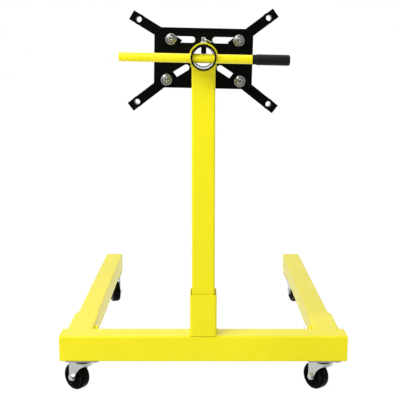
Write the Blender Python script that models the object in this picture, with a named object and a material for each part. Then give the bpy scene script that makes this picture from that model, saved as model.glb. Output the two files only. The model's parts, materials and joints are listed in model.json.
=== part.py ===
"""Engine stand: a wheeled base, a post and a turning head with four mounting arms.

Metres, +Z up. The handle side is -Y and the engine side is +Y. The origin is on the
floor, at the middle of the stand's footprint.
"""

import math

import bmesh
import bpy

# Clearances
GAP = 0.0003                # between pieces that are welded, bolted or pushed together
PLAY = 0.0005               # round fits that turn or slide

# Crossbeam
BEAM_LENGTH = 0.650
BEAM_SIDE = 0.060
BEAM_WALL = 0.0030
BEAM_CORNER = 0.006         # outside radius of the tube's corners

# Sockets that take the post and the legs
SOCKET_WALL = 0.0035
SOCKET_PLAY = 0.0010        # on each side of the tube that slides in
SOCKET_CORNER = 0.006
POST_SOCKET_HEIGHT = 0.096
LEG_SOCKET_LENGTH = 0.118

# Post
POST_SIDE = 0.051
POST_WALL = 0.0025
POST_CORNER = 0.005
HEAD_HEIGHT = 0.7584        # head axis above the floor, where it crosses the post

# Legs
LEG_SIDE = 0.051
LEG_WALL = 0.0025
LEG_CORNER = 0.005
LEG_LENGTH = 0.760
LEG_INSET = 0.039           # legs' centre lines from the ends of the crossbeam
LEG_PAD_THICKNESS = 0.0045  # plate welded under the leg for its caster
LEG_PAD_LENGTH = 0.084
LEG_PAD_STEP = 0.0005       # the plate is this much short of the leg's sides

# Plugs that close the tube ends
PLUG_SINK = 0.0010          # below the end of the tube
PLUG_DEPTH = 0.012
PLUG_CHAMFER = 0.0012

# Set bolts that hold the post and the legs in their sockets
SET_BOLT_DIAMETER = 0.010
SET_BOLT_HEAD = 0.0065      # height of the hexagon
SET_BOLT_FLATS = 0.016
SET_NUT_HEIGHT = 0.008
SET_NUT_FLATS = 0.018
SET_BOLT_REST = 0.003       # shank between nut and hexagon when tight
LEG_BOLT_SETBACK = 0.036    # along the leg socket, from the crossbeam
LEG_BOLT_LIFT = 0.014       # above the middle of the leg socket
POST_BOLT_HEIGHT = 0.050    # above the foot of the post socket

# Turning head
HEAD_TILT = math.radians(1.25)   # the engine end is set higher
HEAD_TURN = math.radians(1.25)   # how far round the head stands at rest
TUBE_DIAMETER = 0.054
TUBE_WALL = 0.0034
SLEEVE_WALL = 0.0035
SLEEVE_OVERHANG = 0.0105    # past the post on the handle side
SLEEVE_LENGTH = 0.114
PLATE_WIDTH = 0.222
PLATE_HEIGHT = 0.134
PLATE_THICKNESS = 0.008
PLATE_CORNER = 0.006
PLATE_DROP = 0.0037         # middle of the plate below the head axis
PLATE_PLAY = 0.003          # between the sleeve and the mounting plate
SLOT_WIDTH = 0.014
SLOT_TRAVEL = 0.055         # between the centres of a slot's round ends
TOP_SLOT_X = 0.0263         # inner end of the level slots, from the head axis
TOP_SLOT_Z = 0.0373
LOW_SLOT_X = 0.0382         # inner end of the slanting slots
LOW_SLOT_Z = -0.0251
LOW_SLOT_SLOPE = math.radians(-32.0)

# Turning handle
HANDLE_DIAMETER = 0.019
HANDLE_LENGTH = 0.3555      # bar, with the end inside the grip
HANDLE_OFFSET = -0.178      # plain end of the bar, from the head axis
HANDLE_DROP = 0.0018        # the bar is pressed to the bottom of its hole
HANDLE_STANDOFF = 0.0022    # between the sleeve and the hole for the bar
TUBE_RIM = 0.0042           # tube left past that hole
BAR_CHAMFER = 0.001
GRIP_WALL = 0.0018
GRIP_LENGTH = 0.079
GRIP_END = 0.0035           # thickness of the closed end
GRIP_NECK_LENGTH = 0.0085
GRIP_NECK_STEP = 0.0011     # the neck is this much smaller in radius
GRIP_ROUND = 0.003
SET_SCREW_DIAMETER = 0.009
SET_SCREW_SINK = 0.0005     # below the outside of the tube

# Lock pin, drawn clear of the head tube at rest
PIN_DIAMETER = 0.009
PIN_LENGTH = 0.015
PIN_SETBACK = 0.055         # along the sleeve from its handle end
PIN_CHAMFER = 0.001
PIN_EYE_DROP = 0.0030       # cross hole for the pull ring, below the top of the pin
INDEX_HOLES = 8
INDEX_HOLE_DIAMETER = 0.0105
BOSS_HEIGHT = 0.0025        # of the pin's guide above the sleeve
BOSS_TOP_WALL = 0.0015
BOSS_FOOT_WALL = 0.0030
RING_CLEAR = 0.0035         # the ring's radius is this much more than the pin's
RING_WIRE = 0.0018
RING_SLOPE = math.radians(24.0)

# Mounting arms
ARM_WIDTH = 0.0225
ARM_THICKNESS = 0.008
ARM_TAIL = 0.022            # past the bolt, towards the middle of the plate
ARM_REACH = 0.0845          # from the bolt to the hole at the tip
ARM_TIP = 0.0192            # past that hole
ARM_HOLE_DIAMETER = 0.013
ARM_BOSS_WALL = 0.0056
ARM_BOSS_LENGTH = 0.027     # on the engine side of the arm
ARM_BOLT_DIAMETER = 0.012
ARM_BOLT_HEAD = 0.0075
ARM_BOLT_FLATS = 0.018
ARM_BOLT_END = 0.004        # past the nut
ARM_NUT_HEIGHT = 0.010
ARM_NUT_FLATS = 0.019
WASHER_DIAMETER = 0.025
WASHER_THICKNESS = 0.0025

# Each arm: side, slot, bolt's place along the slot, and angle above the level
ARMS = {
    "upper_left": (-1, "top", 0.0473, math.radians(30.2)),
    "upper_right": (1, "top", 0.0521, math.radians(37.6)),
    "lower_left": (-1, "low", 0.0523, math.radians(-38.1)),
    "lower_right": (1, "low", 0.0532, math.radians(-36.9)),
}

# Casters
WHEEL_DIAMETER = 0.0635
WHEEL_WIDTH = 0.024
WHEEL_SHOULDER = 0.0055     # rounding of the tread's edges
WHEEL_RIM_RADIUS = 0.0215   # inside edge of the tread
WHEEL_WEB_SINK = 0.0035     # web below the side of the tread
HUB_DIAMETER = 0.020
HUB_PROUD = 0.0012          # hub past the side of the tread
HUB_PLAY = 0.0008           # between hub and fork
AXLE_DIAMETER = 0.008
AXLE_HEAD = 0.0045
AXLE_FLATS = 0.013
FORK_TRAIL = 0.022          # axle behind the swivel
FORK_SHEET = 0.0025
FORK_BOSS = 0.0085          # radius round the axle
FORK_HEADROOM = 0.0055      # above the wheel
FORK_BEND = (0.80, 0.37)    # where the swept edge bends, as shares of its run and its fall
CROWN_RADIUS = 0.0225
CROWN_THICKNESS = 0.003
CROWN_EDGE = 0.0004         # crown past the fork's legs
CROWN_SKIRT = 0.0045        # turned-down edge at the front of the crown
KINGPIN_DIAMETER = 0.010
RACE_GAP = 0.0022           # open ring between the crown and the plate
RACE_DEPTH = 0.003
RACE_RADIUS = 0.0205
RACE_FOOT = 0.0165          # smaller end of the pressed raceway
CASTER_PLATE = 0.0025
CASTER_PLATE_LONG = 0.078
CASTER_PLATE_WIDE = 0.051
CASTER_PLATE_CORNER = 0.006
FRONT_CASTER_INSET = 0.0495  # swivel from the end of the crossbeam
REAR_CASTER_INSET = 0.052    # swivel from the end of the leg

# Which way each wheel trails, counted from +X towards +Y
CASTER_HEADINGS = {
    "front_left": math.radians(143.0),
    "front_right": math.radians(128.0),
    "rear_left": math.radians(-70.0),
    "rear_right": math.radians(-76.0),
}

# Facets
ROUND = 32                  # sides of the head tube, its sleeve and what fits them
SMALL_ROUND = 24            # sides of wheels, bars, bosses and holes
HARDWARE_ROUND = 12         # sides of pins, bolts and nuts, two for each side of a hexagon
RING_SIDES = 6              # sides of the pull ring's wire
CORNER_STEPS = 3
SHARP = math.radians(35.0)

# Places that follow from the sizes above
FORK_INSIDE = WHEEL_WIDTH / 2 + HUB_PROUD + HUB_PLAY
FORK_OUTSIDE = FORK_INSIDE + FORK_SHEET
CROWN_UNDER = WHEEL_DIAMETER + FORK_HEADROOM
CROWN_TOP = CROWN_UNDER + CROWN_THICKNESS
PLATE_UNDER = CROWN_TOP + RACE_GAP + RACE_DEPTH
CASTER_TOP = PLATE_UNDER + CASTER_PLATE + GAP
BEAM_Z = CASTER_TOP + BEAM_SIDE / 2
BEAM_TOP = CASTER_TOP + BEAM_SIDE
LEG_Z = CASTER_TOP + LEG_PAD_THICKNESS + LEG_SIDE / 2
POST_SOCKET_SIDE = POST_SIDE + 2 * (SOCKET_PLAY + SOCKET_WALL)
LEG_SOCKET_SIDE = LEG_SIDE + 2 * (SOCKET_PLAY + SOCKET_WALL)
SOCKET_Y = BEAM_SIDE / 2 + GAP
LEG_X = BEAM_LENGTH / 2 - LEG_INSET
LEG_Y = SOCKET_Y + GAP
LEG_END = LEG_Y + LEG_LENGTH
TUBE_RADIUS = TUBE_DIAMETER / 2
SLEEVE_INSIDE = TUBE_RADIUS + PLAY
SLEEVE_OUTSIDE = SLEEVE_INSIDE + SLEEVE_WALL
SLEEVE_START = -(POST_SIDE / 2 + SLEEVE_OVERHANG)
SLEEVE_END = SLEEVE_START + SLEEVE_LENGTH
PLATE_FRONT = SLEEVE_END + PLATE_PLAY
PLATE_BACK = PLATE_FRONT + PLATE_THICKNESS
HANDLE_HOLE = HANDLE_DIAMETER / 2 + HANDLE_DROP + GAP
HANDLE_Y = SLEEVE_START - HANDLE_STANDOFF - HANDLE_HOLE
TUBE_START = HANDLE_Y - HANDLE_HOLE - TUBE_RIM
PIN_Y = SLEEVE_START + PIN_SETBACK
PIN_HOLE = PIN_DIAMETER / 2 + PLAY
RING_RADIUS = PIN_DIAMETER / 2 + RING_CLEAR
RING_SAG = RING_RADIUS - math.sqrt(RING_RADIUS ** 2 - (PIN_DIAMETER / 2) ** 2)
PIN_EYE = (RING_WIRE + RING_SAG) / 2 + PLAY
ARM_FRONT = PLATE_BACK + GAP
ARM_BACK = ARM_FRONT + ARM_THICKNESS
STAND_FRONT = TUBE_START * math.cos(HEAD_TILT) - TUBE_RADIUS * math.sin(HEAD_TILT)
STAND_BACK = LEG_END

# Turns that lay a piece built along Z on another axis
ALONG_X = (0.0, math.pi / 2, 0.0)
ALONG_MINUS_X = (0.0, -math.pi / 2, 0.0)
ALONG_Y = (-math.pi / 2, 0.0, 0.0)
ALONG_MINUS_Y = (math.pi / 2, 0.0, 0.0)


def clear_scene():
    """Remove every object that the file holds."""
    for old in list(bpy.data.objects):
        bpy.data.objects.remove(old, do_unlink=True)


def make_finish(name, colour, roughness, metallic):
    """A plain surface finish."""
    finish = bpy.data.materials.new(name)
    finish.use_nodes = True
    shader = finish.node_tree.nodes["Principled BSDF"]
    shader.inputs["Base Color"].default_value = (*colour, 1.0)
    shader.inputs["Roughness"].default_value = roughness
    shader.inputs["Metallic"].default_value = metallic
    return finish


def add_empty(name, parent, location, rotation=(0.0, 0.0, 0.0)):
    """A reference frame: a joint's axis or a group's place."""
    frame = bpy.data.objects.new(name, None)
    bpy.context.scene.collection.objects.link(frame)
    frame.parent = parent
    frame.location = location
    frame.rotation_euler = rotation
    return frame


def add_part(name, mesh, finish, parent, location=(0.0, 0.0, 0.0), rotation=(0.0, 0.0, 0.0)):
    """One sub-part, placed under its parent frame."""
    part = bpy.data.objects.new(name, mesh)
    bpy.context.scene.collection.objects.link(part)
    mesh.materials.append(finish)
    part.parent = parent
    part.location = location
    part.rotation_euler = rotation
    return part


def add_tool(part, mesh, operation, parent, location, rotation=(0.0, 0.0, 0.0)):
    """Cut a shape out of a part, or weld it on, with a Boolean."""
    tool = bpy.data.objects.new("tool_" + part.name, mesh)
    bpy.context.scene.collection.objects.link(tool)
    tool.parent = parent
    tool.location = location
    tool.rotation_euler = rotation
    tool.hide_render = True
    tool.display_type = "WIRE"
    boolean = part.modifiers.new(operation.lower(), "BOOLEAN")
    boolean.operation = operation
    boolean.solver = "EXACT"
    boolean.object = tool


def cut(part, mesh, parent, location, rotation=(0.0, 0.0, 0.0)):
    add_tool(part, mesh, "DIFFERENCE", parent, location, rotation)


def weld(part, mesh, parent, location, rotation=(0.0, 0.0, 0.0)):
    add_tool(part, mesh, "UNION", parent, location, rotation)


def arc(centre, radius, start, end, steps):
    """Points along a circular arc, both ends included."""
    points = []
    for step in range(steps + 1):
        angle = start + (end - start) * step / steps
        points.append((centre[0] + radius * math.cos(angle), centre[1] + radius * math.sin(angle)))
    return points


def circle(radius, sides):
    return arc((0.0, 0.0), radius, 0.0, 2 * math.pi * (sides - 1) / sides, sides - 1)


def hexagon(flats):
    """A hexagon of the given width across flats, with as many points as a bolt's circle."""
    points = []
    for step in range(HARDWARE_ROUND):
        angle = 2 * math.pi * step / HARDWARE_ROUND
        from_flat = (angle % (math.pi / 3)) - math.pi / 6
        reach = flats / 2 / math.cos(from_flat)
        points.append((reach * math.cos(angle), reach * math.sin(angle)))
    return points


def rounded_rectangle(width, height, radius):
    points = []
    corners = ((1, 1), (-1, 1), (-1, -1), (1, -1))
    for turn, (side_x, side_y) in enumerate(corners):
        centre = (side_x * (width / 2 - radius), side_y * (height / 2 - radius))
        start = turn * math.pi / 2
        points += arc(centre, radius, start, start + math.pi / 2, CORNER_STEPS)
    return points


def slot_outline(travel, width):
    """A slot from the origin along +X, with round ends."""
    half_turn = SMALL_ROUND // 2
    points = arc((travel, 0.0), width / 2, -math.pi / 2, math.pi / 2, half_turn)
    points += arc((0.0, 0.0), width / 2, math.pi / 2, 3 * math.pi / 2, half_turn)
    return points


def solid(sections, hollow=False):
    """A closed body through outlines of equal count, each an (outline, height) pair.

    The first and last outlines are capped, or joined to each other on a hollow body.
    """
    shape = bmesh.new()
    rings = []
    for outline, height in sections:
        rings.append([shape.verts.new((x, y, height)) for x, y in outline])
    pairs = list(zip(rings, rings[1:]))
    if hollow:
        pairs.append((rings[-1], rings[0]))
    else:
        shape.faces.new(rings[0])
        shape.faces.new(rings[-1])
    for low, high in pairs:
        for here in range(len(low)):
            after = (here + 1) % len(low)
            shape.faces.new((low[here], low[after], high[after], high[here]))
    bmesh.ops.recalc_face_normals(shape, faces=shape.faces)
    mesh = bpy.data.meshes.new("shape")
    shape.to_mesh(mesh)
    shape.free()
    mesh.shade_smooth()
    mesh.set_sharp_from_angle(angle=SHARP)
    return mesh


def prism(outline, depth):
    return solid([(outline, 0.0), (outline, depth)])


def turned(profile, sides=ROUND, hollow=False):
    """A body of revolution about Z from (radius, height) points."""
    return solid([(circle(radius, sides), height) for radius, height in profile], hollow)


def rod(radius, start, end, sides=SMALL_ROUND):
    return turned([(radius, start), (radius, end)], sides)


def pipe(outside, inside, start, end, sides=ROUND):
    profile = [(outside, start), (outside, end), (inside, end), (inside, start)]
    return turned(profile, sides, hollow=True)


def square_tube(side, wall, corner, length):
    outside = rounded_rectangle(side, side, corner)
    inside = rounded_rectangle(side - 2 * wall, side - 2 * wall, corner - wall)
    return solid([(outside, 0.0), (outside, length), (inside, length), (inside, 0.0)], hollow=True)


def end_cap(side, wall, corner):
    """A moulded plug that fills the end of a square tube."""
    inside = side - 2 * (wall + GAP)
    radius = corner - wall - GAP
    full = rounded_rectangle(inside, inside, radius)
    face = rounded_rectangle(inside - 2 * PLUG_CHAMFER, inside - 2 * PLUG_CHAMFER, radius)
    return solid([(full, -PLUG_DEPTH), (full, -PLUG_SINK - PLUG_CHAMFER), (face, -PLUG_SINK)])


def hexagon_bolt(diameter, shank_start, shank_end, flats, head):
    shank = circle(diameter / 2, HARDWARE_ROUND)
    top = hexagon(flats)
    return solid([(shank, shank_start), (shank, shank_end), (top, shank_end), (top, shank_end + head)])


def hexagon_nut(diameter, flats, height):
    outside = hexagon(flats)
    inside = circle(diameter / 2 + GAP, HARDWARE_ROUND)
    return solid([(outside, 0.0), (outside, height), (inside, height), (inside, 0.0)], hollow=True)


def build_crossbeam(stand, finishes):
    beam = square_tube(BEAM_SIDE, BEAM_WALL, BEAM_CORNER, BEAM_LENGTH)
    add_part("crossbeam", beam, finishes["yellow"], stand, (-BEAM_LENGTH / 2, 0.0, BEAM_Z), ALONG_X)
    for side, name, turn in ((-1, "left", ALONG_MINUS_X), (1, "right", ALONG_X)):
        cap = end_cap(BEAM_SIDE, BEAM_WALL, BEAM_CORNER)
        place = (side * BEAM_LENGTH / 2, 0.0, BEAM_Z)
        add_part("beam_cap_" + name, cap, finishes["black_plastic"], stand, place, turn)


def build_set_bolt(name, socket, stand, wall_face, turn, finishes):
    """A nut welded on a socket's face, its bolt, and the hole they share.

    The axis starts at the outside of the wall and points away from it along the turned Z.
    """
    axis = add_empty("axis_" + name, stand, wall_face, turn)
    seat = -(SOCKET_WALL + SOCKET_PLAY) + GAP
    grip_end = GAP + SET_NUT_HEIGHT + SET_BOLT_REST
    nut = hexagon_nut(SET_BOLT_DIAMETER, SET_NUT_FLATS, SET_NUT_HEIGHT)
    add_part(name + "_nut", nut, finishes["yellow"], axis, (0.0, 0.0, GAP))
    bolt = hexagon_bolt(SET_BOLT_DIAMETER, seat, grip_end, SET_BOLT_FLATS, SET_BOLT_HEAD)
    add_part(name + "_bolt", bolt, finishes["zinc"], axis)
    hole = rod(SET_BOLT_DIAMETER / 2 + GAP, seat - GAP, SET_NUT_HEIGHT)
    cut(socket, hole, axis, (0.0, 0.0, 0.0))


def build_post(stand, head_axis, finishes):
    """The upright socket on the crossbeam, and the post coped to the head sleeve."""
    foot = BEAM_TOP + GAP
    socket_mesh = square_tube(POST_SOCKET_SIDE, SOCKET_WALL, SOCKET_CORNER, POST_SOCKET_HEIGHT)
    socket = add_part("post_socket", socket_mesh, finishes["yellow"], stand, (0.0, 0.0, foot))
    back_face = (0.0, POST_SOCKET_SIDE / 2, foot + POST_BOLT_HEIGHT)
    build_set_bolt("post_lock", socket, stand, back_face, ALONG_Y, finishes)
    start = foot + GAP
    post_mesh = square_tube(POST_SIDE, POST_WALL, POST_CORNER, HEAD_HEIGHT - start)
    post = add_part("post", post_mesh, finishes["yellow"], stand, (0.0, 0.0, start))
    saddle = rod(SLEEVE_OUTSIDE + GAP, -POST_SIDE, POST_SIDE, ROUND)
    cut(post, saddle, head_axis, (0.0, 0.0, 0.0), ALONG_Y)


def build_leg(side, name, stand, finishes):
    """One leg, the socket that holds it, its set bolt and its end cap."""
    x = side * LEG_X
    socket_mesh = square_tube(LEG_SOCKET_SIDE, SOCKET_WALL, SOCKET_CORNER, LEG_SOCKET_LENGTH)
    place = (x, SOCKET_Y, LEG_Z)
    socket = add_part("leg_socket_" + name, socket_mesh, finishes["yellow"], stand, place, ALONG_Y)
    inner_face = (x - side * LEG_SOCKET_SIDE / 2, SOCKET_Y + LEG_BOLT_SETBACK, LEG_Z + LEG_BOLT_LIFT)
    inward = ALONG_X if side < 0 else ALONG_MINUS_X
    build_set_bolt("leg_lock_" + name, socket, stand, inner_face, inward, finishes)
    leg_mesh = square_tube(LEG_SIDE, LEG_WALL, LEG_CORNER, LEG_LENGTH)
    leg = add_part("leg_" + name, leg_mesh, finishes["yellow"], stand, (x, LEG_Y, LEG_Z), ALONG_Y)
    into_wall = LEG_WALL / 2
    pad_width = LEG_SIDE - 2 * LEG_PAD_STEP
    pad = prism(rounded_rectangle(pad_width, LEG_PAD_LENGTH, LEG_CORNER), LEG_PAD_THICKNESS + into_wall)
    weld(leg, pad, stand, (x, LEG_END - REAR_CASTER_INSET, CASTER_TOP))
    cap = end_cap(LEG_SIDE, LEG_WALL, LEG_CORNER)
    add_part("leg_cap_" + name, cap, finishes["black_plastic"], stand, (x, LEG_END, LEG_Z), ALONG_Y)


def build_sleeve(head_axis, finishes):
    """The fixed sleeve on the post, with the guide for the lock pin."""
    sleeve_mesh = pipe(SLEEVE_OUTSIDE, SLEEVE_INSIDE, SLEEVE_START, SLEEVE_END)
    sleeve = add_part("head_sleeve", sleeve_mesh, finishes["yellow"], head_axis, rotation=ALONG_Y)
    pin_place = (0.0, PIN_Y, 0.0)
    pin_hole = rod(PIN_HOLE, 0.0, SLEEVE_OUTSIDE + BOSS_HEIGHT, HARDWARE_ROUND)
    cut(sleeve, pin_hole, head_axis, pin_place)
    foot = PIN_HOLE + BOSS_FOOT_WALL
    top = PIN_HOLE + BOSS_TOP_WALL
    crest = SLEEVE_OUTSIDE + BOSS_HEIGHT
    profile = [(foot, SLEEVE_INSIDE), (foot, SLEEVE_OUTSIDE), (top, crest)]
    profile += [(PIN_HOLE, crest), (PIN_HOLE, SLEEVE_INSIDE)]
    boss_mesh = turned(profile, HARDWARE_ROUND, hollow=True)
    boss = add_part("lock_pin_guide", boss_mesh, finishes["zinc"], head_axis, pin_place)
    seat = rod(SLEEVE_OUTSIDE + GAP, SLEEVE_START, SLEEVE_END, ROUND)
    cut(boss, seat, head_axis, (0.0, 0.0, 0.0), ALONG_Y)


def build_lock_pin(head_axis, finishes):
    """The pin that drops into the head tube's index holes, and its pull ring."""
    tip = TUBE_RADIUS + PLAY
    crown = tip + PIN_LENGTH
    pin_axis = add_empty("axis_lock_pin", head_axis, (0.0, PIN_Y, 0.0))
    radius = PIN_DIAMETER / 2
    profile = [(radius - PIN_CHAMFER, tip), (radius, tip + PIN_CHAMFER)]
    profile += [(radius, crown - PIN_CHAMFER), (radius - PIN_CHAMFER, crown)]
    pin = add_part("lock_pin", turned(profile, HARDWARE_ROUND), finishes["zinc"], pin_axis)
    eye_height = crown - PIN_EYE_DROP
    eye = rod(PIN_EYE, -PIN_DIAMETER, PIN_DIAMETER, HARDWARE_ROUND)
    cut(pin, eye, pin_axis, (0.0, 0.0, eye_height), ALONG_Y)
    ring_axis = add_empty("axis_pull_ring", pin_axis, (0.0, 0.0, eye_height), (0.0, RING_SLOPE, 0.0))
    section = [(RING_RADIUS + x, y) for x, y in circle(RING_WIRE / 2, RING_SIDES)]
    ring = turned(section, SMALL_ROUND, hollow=True)
    add_part("pull_ring", ring, finishes["zinc"], ring_axis, (RING_RADIUS - RING_SAG / 2, 0.0, 0.0))


def build_head(head_axis, head_turn, finishes):
    """The turning tube, the slotted mounting plate welded round its end, and the arms on it."""
    tube_mesh = pipe(TUBE_RADIUS, TUBE_RADIUS - TUBE_WALL, TUBE_START, PLATE_BACK)
    tube = add_part("head_tube", tube_mesh, finishes["black"], head_turn, rotation=ALONG_Y)
    cut(tube, rod(HANDLE_HOLE, -TUBE_DIAMETER, TUBE_DIAMETER), head_turn, (0.0, HANDLE_Y, 0.0), ALONG_X)
    screw_radius = SET_SCREW_DIAMETER / 2
    screw_place = (0.0, HANDLE_Y, 0.0)
    cut(tube, rod(screw_radius + GAP, 0.0, TUBE_DIAMETER), head_turn, screw_place)
    bar_top = HANDLE_DIAMETER / 2 - HANDLE_DROP
    screw = rod(screw_radius, bar_top + GAP, TUBE_RADIUS - SET_SCREW_SINK)
    add_part("handle_set_screw", screw, finishes["black"], head_turn, screw_place)
    for hole in range(INDEX_HOLES):
        turn = 2 * math.pi * hole / INDEX_HOLES
        drill = rod(INDEX_HOLE_DIAMETER / 2, TUBE_RADIUS / 2, TUBE_DIAMETER, SMALL_ROUND // 2)
        cut(tube, drill, head_axis, (0.0, PIN_Y, 0.0), (0.0, turn, 0.0))

    plate_mesh = prism(rounded_rectangle(PLATE_WIDTH, PLATE_HEIGHT, PLATE_CORNER), PLATE_THICKNESS)
    plate = add_part("mounting_plate", plate_mesh, finishes["black"], head_turn,
                     (0.0, PLATE_BACK, -PLATE_DROP), ALONG_MINUS_Y)
    bore = rod(TUBE_RADIUS + GAP, PLATE_FRONT - PLATE_THICKNESS, PLATE_BACK + PLATE_THICKNESS, ROUND)
    cut(plate, bore, head_turn, (0.0, 0.0, 0.0), ALONG_Y)
    for name, (side, slot, along, angle) in ARMS.items():
        start, turn = slot_frame(side, slot)
        slot_axis = add_empty("axis_slot_" + name, head_turn, start, turn)
        through = prism(slot_outline(SLOT_TRAVEL, SLOT_WIDTH), 3 * PLATE_THICKNESS)
        cut(plate, through, slot_axis, (0.0, PLATE_THICKNESS, 0.0), ALONG_MINUS_Y)
        level = (0.0, -turn[1], 0.0)
        bolt_frame = add_empty("axis_bolt_" + name, slot_axis, (along, 0.0, 0.0), level)
        build_arm(name, bolt_frame, outward_turn(side, angle), finishes)


def slot_frame(side, slot):
    """Where a slot starts on the plate, and the turn that lays +X along it."""
    if slot == "top":
        start_x, start_z, slope = TOP_SLOT_X, TOP_SLOT_Z, 0.0
    else:
        start_x, start_z, slope = LOW_SLOT_X, LOW_SLOT_Z, LOW_SLOT_SLOPE
    return (side * start_x, PLATE_BACK, start_z), outward_turn(side, slope)


def outward_turn(side, slope):
    """Turn +X to point out of the plate's side, raised by a slope."""
    return (0.0, -slope if side > 0 else slope - math.pi, 0.0)


def build_handle(head_turn, finishes):
    """The bar through the head tube and the grip pushed on its end."""
    handle_axis = add_empty("axis_handle", head_turn, (0.0, HANDLE_Y, -HANDLE_DROP), ALONG_X)
    radius = HANDLE_DIAMETER / 2
    bar_end = HANDLE_OFFSET + HANDLE_LENGTH
    profile = [(radius - BAR_CHAMFER, HANDLE_OFFSET), (radius, HANDLE_OFFSET + BAR_CHAMFER)]
    profile += [(radius, bar_end - BAR_CHAMFER), (radius - BAR_CHAMFER, bar_end)]
    add_part("handle_bar", turned(profile, SMALL_ROUND), finishes["yellow"], handle_axis)

    bore = radius + GAP
    outside = radius + GRIP_WALL
    neck = outside - GRIP_NECK_STEP
    grip_end = bar_end + GAP + GRIP_END
    mouth = grip_end - GRIP_LENGTH
    shoulder = mouth + GRIP_NECK_LENGTH
    profile = [(bore, bar_end + GAP), (bore, mouth), (neck, mouth), (neck, shoulder)]
    profile += [(outside, shoulder)]
    profile += arc((outside - GRIP_ROUND, grip_end - GRIP_ROUND), GRIP_ROUND, 0.0, math.pi / 2, 3)
    add_part("handle_grip", turned(profile, SMALL_ROUND), finishes["grip"], handle_axis)


def build_arm(name, bolt_frame, turn, finishes):
    """One mounting arm with its clamping bolt, washer and nut, from the plate's engine face."""
    arm_axis = add_empty("axis_arm_" + name, bolt_frame, (0.0, 0.0, 0.0), turn)
    behind = PLATE_BACK
    washer_start = PLATE_FRONT - GAP - WASHER_THICKNESS - behind
    nut_start = washer_start - GAP - ARM_NUT_HEIGHT
    head_start = ARM_BACK + GAP - behind
    bolt_end = nut_start - ARM_BOLT_END
    bolt = hexagon_bolt(ARM_BOLT_DIAMETER, bolt_end, head_start, ARM_BOLT_FLATS, ARM_BOLT_HEAD)
    add_part("arm_bolt_" + name, bolt, finishes["zinc"], bolt_frame, rotation=ALONG_Y)
    bore = ARM_BOLT_DIAMETER / 2 + GAP
    washer = pipe(WASHER_DIAMETER / 2, bore, washer_start, washer_start + WASHER_THICKNESS, SMALL_ROUND)
    add_part("arm_washer_" + name, washer, finishes["zinc"], bolt_frame, rotation=ALONG_Y)
    nut = hexagon_nut(ARM_BOLT_DIAMETER, ARM_NUT_FLATS, ARM_NUT_HEIGHT)
    add_part("arm_nut_" + name, nut, finishes["zinc"], bolt_frame, (0.0, nut_start, 0.0), ALONG_Y)

    length = ARM_TAIL + ARM_REACH + ARM_TIP
    middle = length / 2 - ARM_TAIL
    half_width = ARM_WIDTH / 2
    outline = [(middle + x * length / 2, y * half_width) for x, y in ((1, 1), (-1, 1), (-1, -1), (1, -1))]
    arm = add_part("arm_" + name, prism(outline, ARM_THICKNESS), finishes["black"], arm_axis,
                   (0.0, ARM_BACK - behind, 0.0), ALONG_MINUS_Y)
    tip_place = (ARM_REACH, ARM_BACK - behind, 0.0)
    boss = rod(ARM_HOLE_DIAMETER / 2 + ARM_BOSS_WALL, -ARM_THICKNESS / 2, ARM_BOSS_LENGTH)
    weld(arm, boss, arm_axis, tip_place, ALONG_Y)
    through = ARM_THICKNESS + ARM_BOSS_LENGTH
    cut(arm, rod(ARM_HOLE_DIAMETER / 2, -2 * through, 2 * through), arm_axis, tip_place, ALONG_Y)
    pivot = rod(ARM_BOLT_DIAMETER / 2 + PLAY, -2 * ARM_THICKNESS, 2 * ARM_THICKNESS)
    cut(arm, pivot, arm_axis, (0.0, ARM_FRONT - behind, 0.0), ALONG_Y)


def fork_leg_outline():
    """Side of the fork: upright behind, swept in front, round at the axle."""
    axle_height = WHEEL_DIAMETER / 2
    top = CROWN_UNDER + CROWN_THICKNESS / 2
    lead = -math.sqrt(CROWN_RADIUS ** 2 - FORK_OUTSIDE ** 2)
    brow = CROWN_UNDER - CROWN_SKIRT
    run = FORK_TRAIL - FORK_BOSS - lead
    fall = brow - axle_height
    points = [(FORK_TRAIL + FORK_BOSS, top), (lead, top)]
    sweep_steps = 5
    for step in range(sweep_steps + 1):
        share = step / sweep_steps
        bend = 2 * share * (1 - share)
        points.append((lead + run * (share ** 2 + bend * FORK_BEND[0]),
                       brow - fall * (share ** 2 + bend * FORK_BEND[1])))
    points += arc((FORK_TRAIL, axle_height), FORK_BOSS, math.pi, 2 * math.pi, 6)[1:]
    return points


def skirt_outline():
    """Turned-down edge round the front of the fork's crown, between its legs."""
    outside = CROWN_RADIUS - CROWN_EDGE
    end = math.asin(FORK_OUTSIDE / CROWN_RADIUS)
    points = arc((0.0, 0.0), outside, math.pi - end, math.pi + end, 6)
    return points + arc((0.0, 0.0), outside - FORK_SHEET, math.pi + end, math.pi - end, 6)


def crown_outline():
    """Top of the fork: round at the swivel, square over the wheel."""
    half_width = FORK_OUTSIDE + CROWN_EDGE
    tail = FORK_TRAIL + FORK_BOSS + CROWN_EDGE
    start = math.asin(half_width / CROWN_RADIUS)
    points = [(tail, -half_width), (tail, half_width)]
    return points + arc((0.0, 0.0), CROWN_RADIUS, start, 2 * math.pi - start, 20)


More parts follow.
